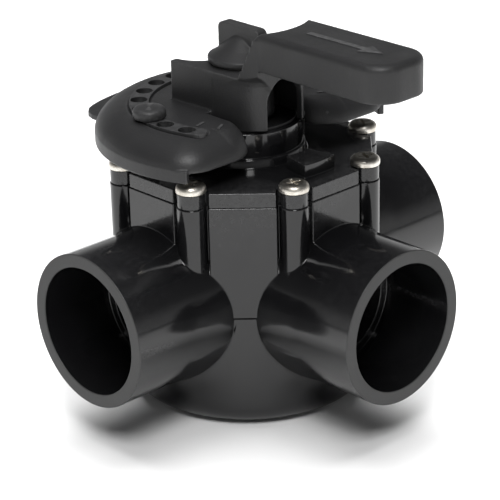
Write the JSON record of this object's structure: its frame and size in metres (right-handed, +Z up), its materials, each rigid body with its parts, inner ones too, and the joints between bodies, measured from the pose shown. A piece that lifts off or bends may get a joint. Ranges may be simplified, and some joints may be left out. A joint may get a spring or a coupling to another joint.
{
  "type": "three way valve",
  "caption": "Plastic three-way diverter valve with glued pipe sockets, bolted cover, turning handle with stop pegs and locking wing knob.",
  "frame": {"origin": "centre of the flat base, under the stem axis", "axes": "+Z up the stem; the run ports lie along +X and -X, the branch port and the resting handle point along -Y"},
  "size_m": [0.201, 0.1845, 0.182],
  "materials": {
    "body_gloss": "glossy black moulded PVC",
    "cover_gloss": "glossy black moulded PVC",
    "handle_matte": "fine-grained matte black",
    "knob_matte": "fine-grained matte black",
    "peg_matte": "fine-grained matte black",
    "diverter_plastic": "satin black moulded",
    "bearing_plastic": "natural acetal",
    "seal_rubber": "smooth black EPDM",
    "screw_steel": "stainless, slightly warm",
    "washer_steel": "stainless",
    "insert_brass": "turned brass"
  },
  "bodies": {
    "valve": {"valve_body": "body_gloss", "lower_bearing": "bearing_plastic", "cover": "cover_gloss", "cover_o_ring": "seal_rubber", "cover_screws": "screw_steel", "stem_bush": "diverter_plastic", "handle_washer": "diverter_plastic"},
    "rotor": {"diverter": "diverter_plastic", "diverter_seal": "seal_rubber", "thrust_washer": "bearing_plastic", "stem_o_ring_lower": "seal_rubber", "stem_o_ring_upper": "seal_rubber", "stem_insert": "insert_brass", "handle": "handle_matte", "knob_washer": "washer_steel"},
    "knob": {"locking_knob": "knob_matte", "knob_stud": "washer_steel"},
    "peg_left": {"stop_peg_left": "peg_matte"},
    "peg_right": {"stop_peg_right": "peg_matte"}
  },
  "joints": [
    {"name": "handle_turn", "type": "hinge", "parent": "valve", "child": "rotor", "pos_m": [0, 0, 0], "axis": [0, 0, 1], "range_deg": [-90, 90]},
    {"name": "knob_turn", "type": "hinge", "parent": "rotor", "child": "knob", "pos_m": [0, 0, 0], "axis": [0, 0, 1], "range_deg": [0, 450]},
    {"name": "peg_left_lift", "type": "slide", "parent": "rotor", "child": "peg_left", "axis": [0, 0, 1], "range_m": [0, 0.03]},
    {"name": "peg_right_lift", "type": "slide", "parent": "rotor", "child": "peg_right", "axis": [0, 0, 1], "range_m": [0, 0.03]}
  ]
}
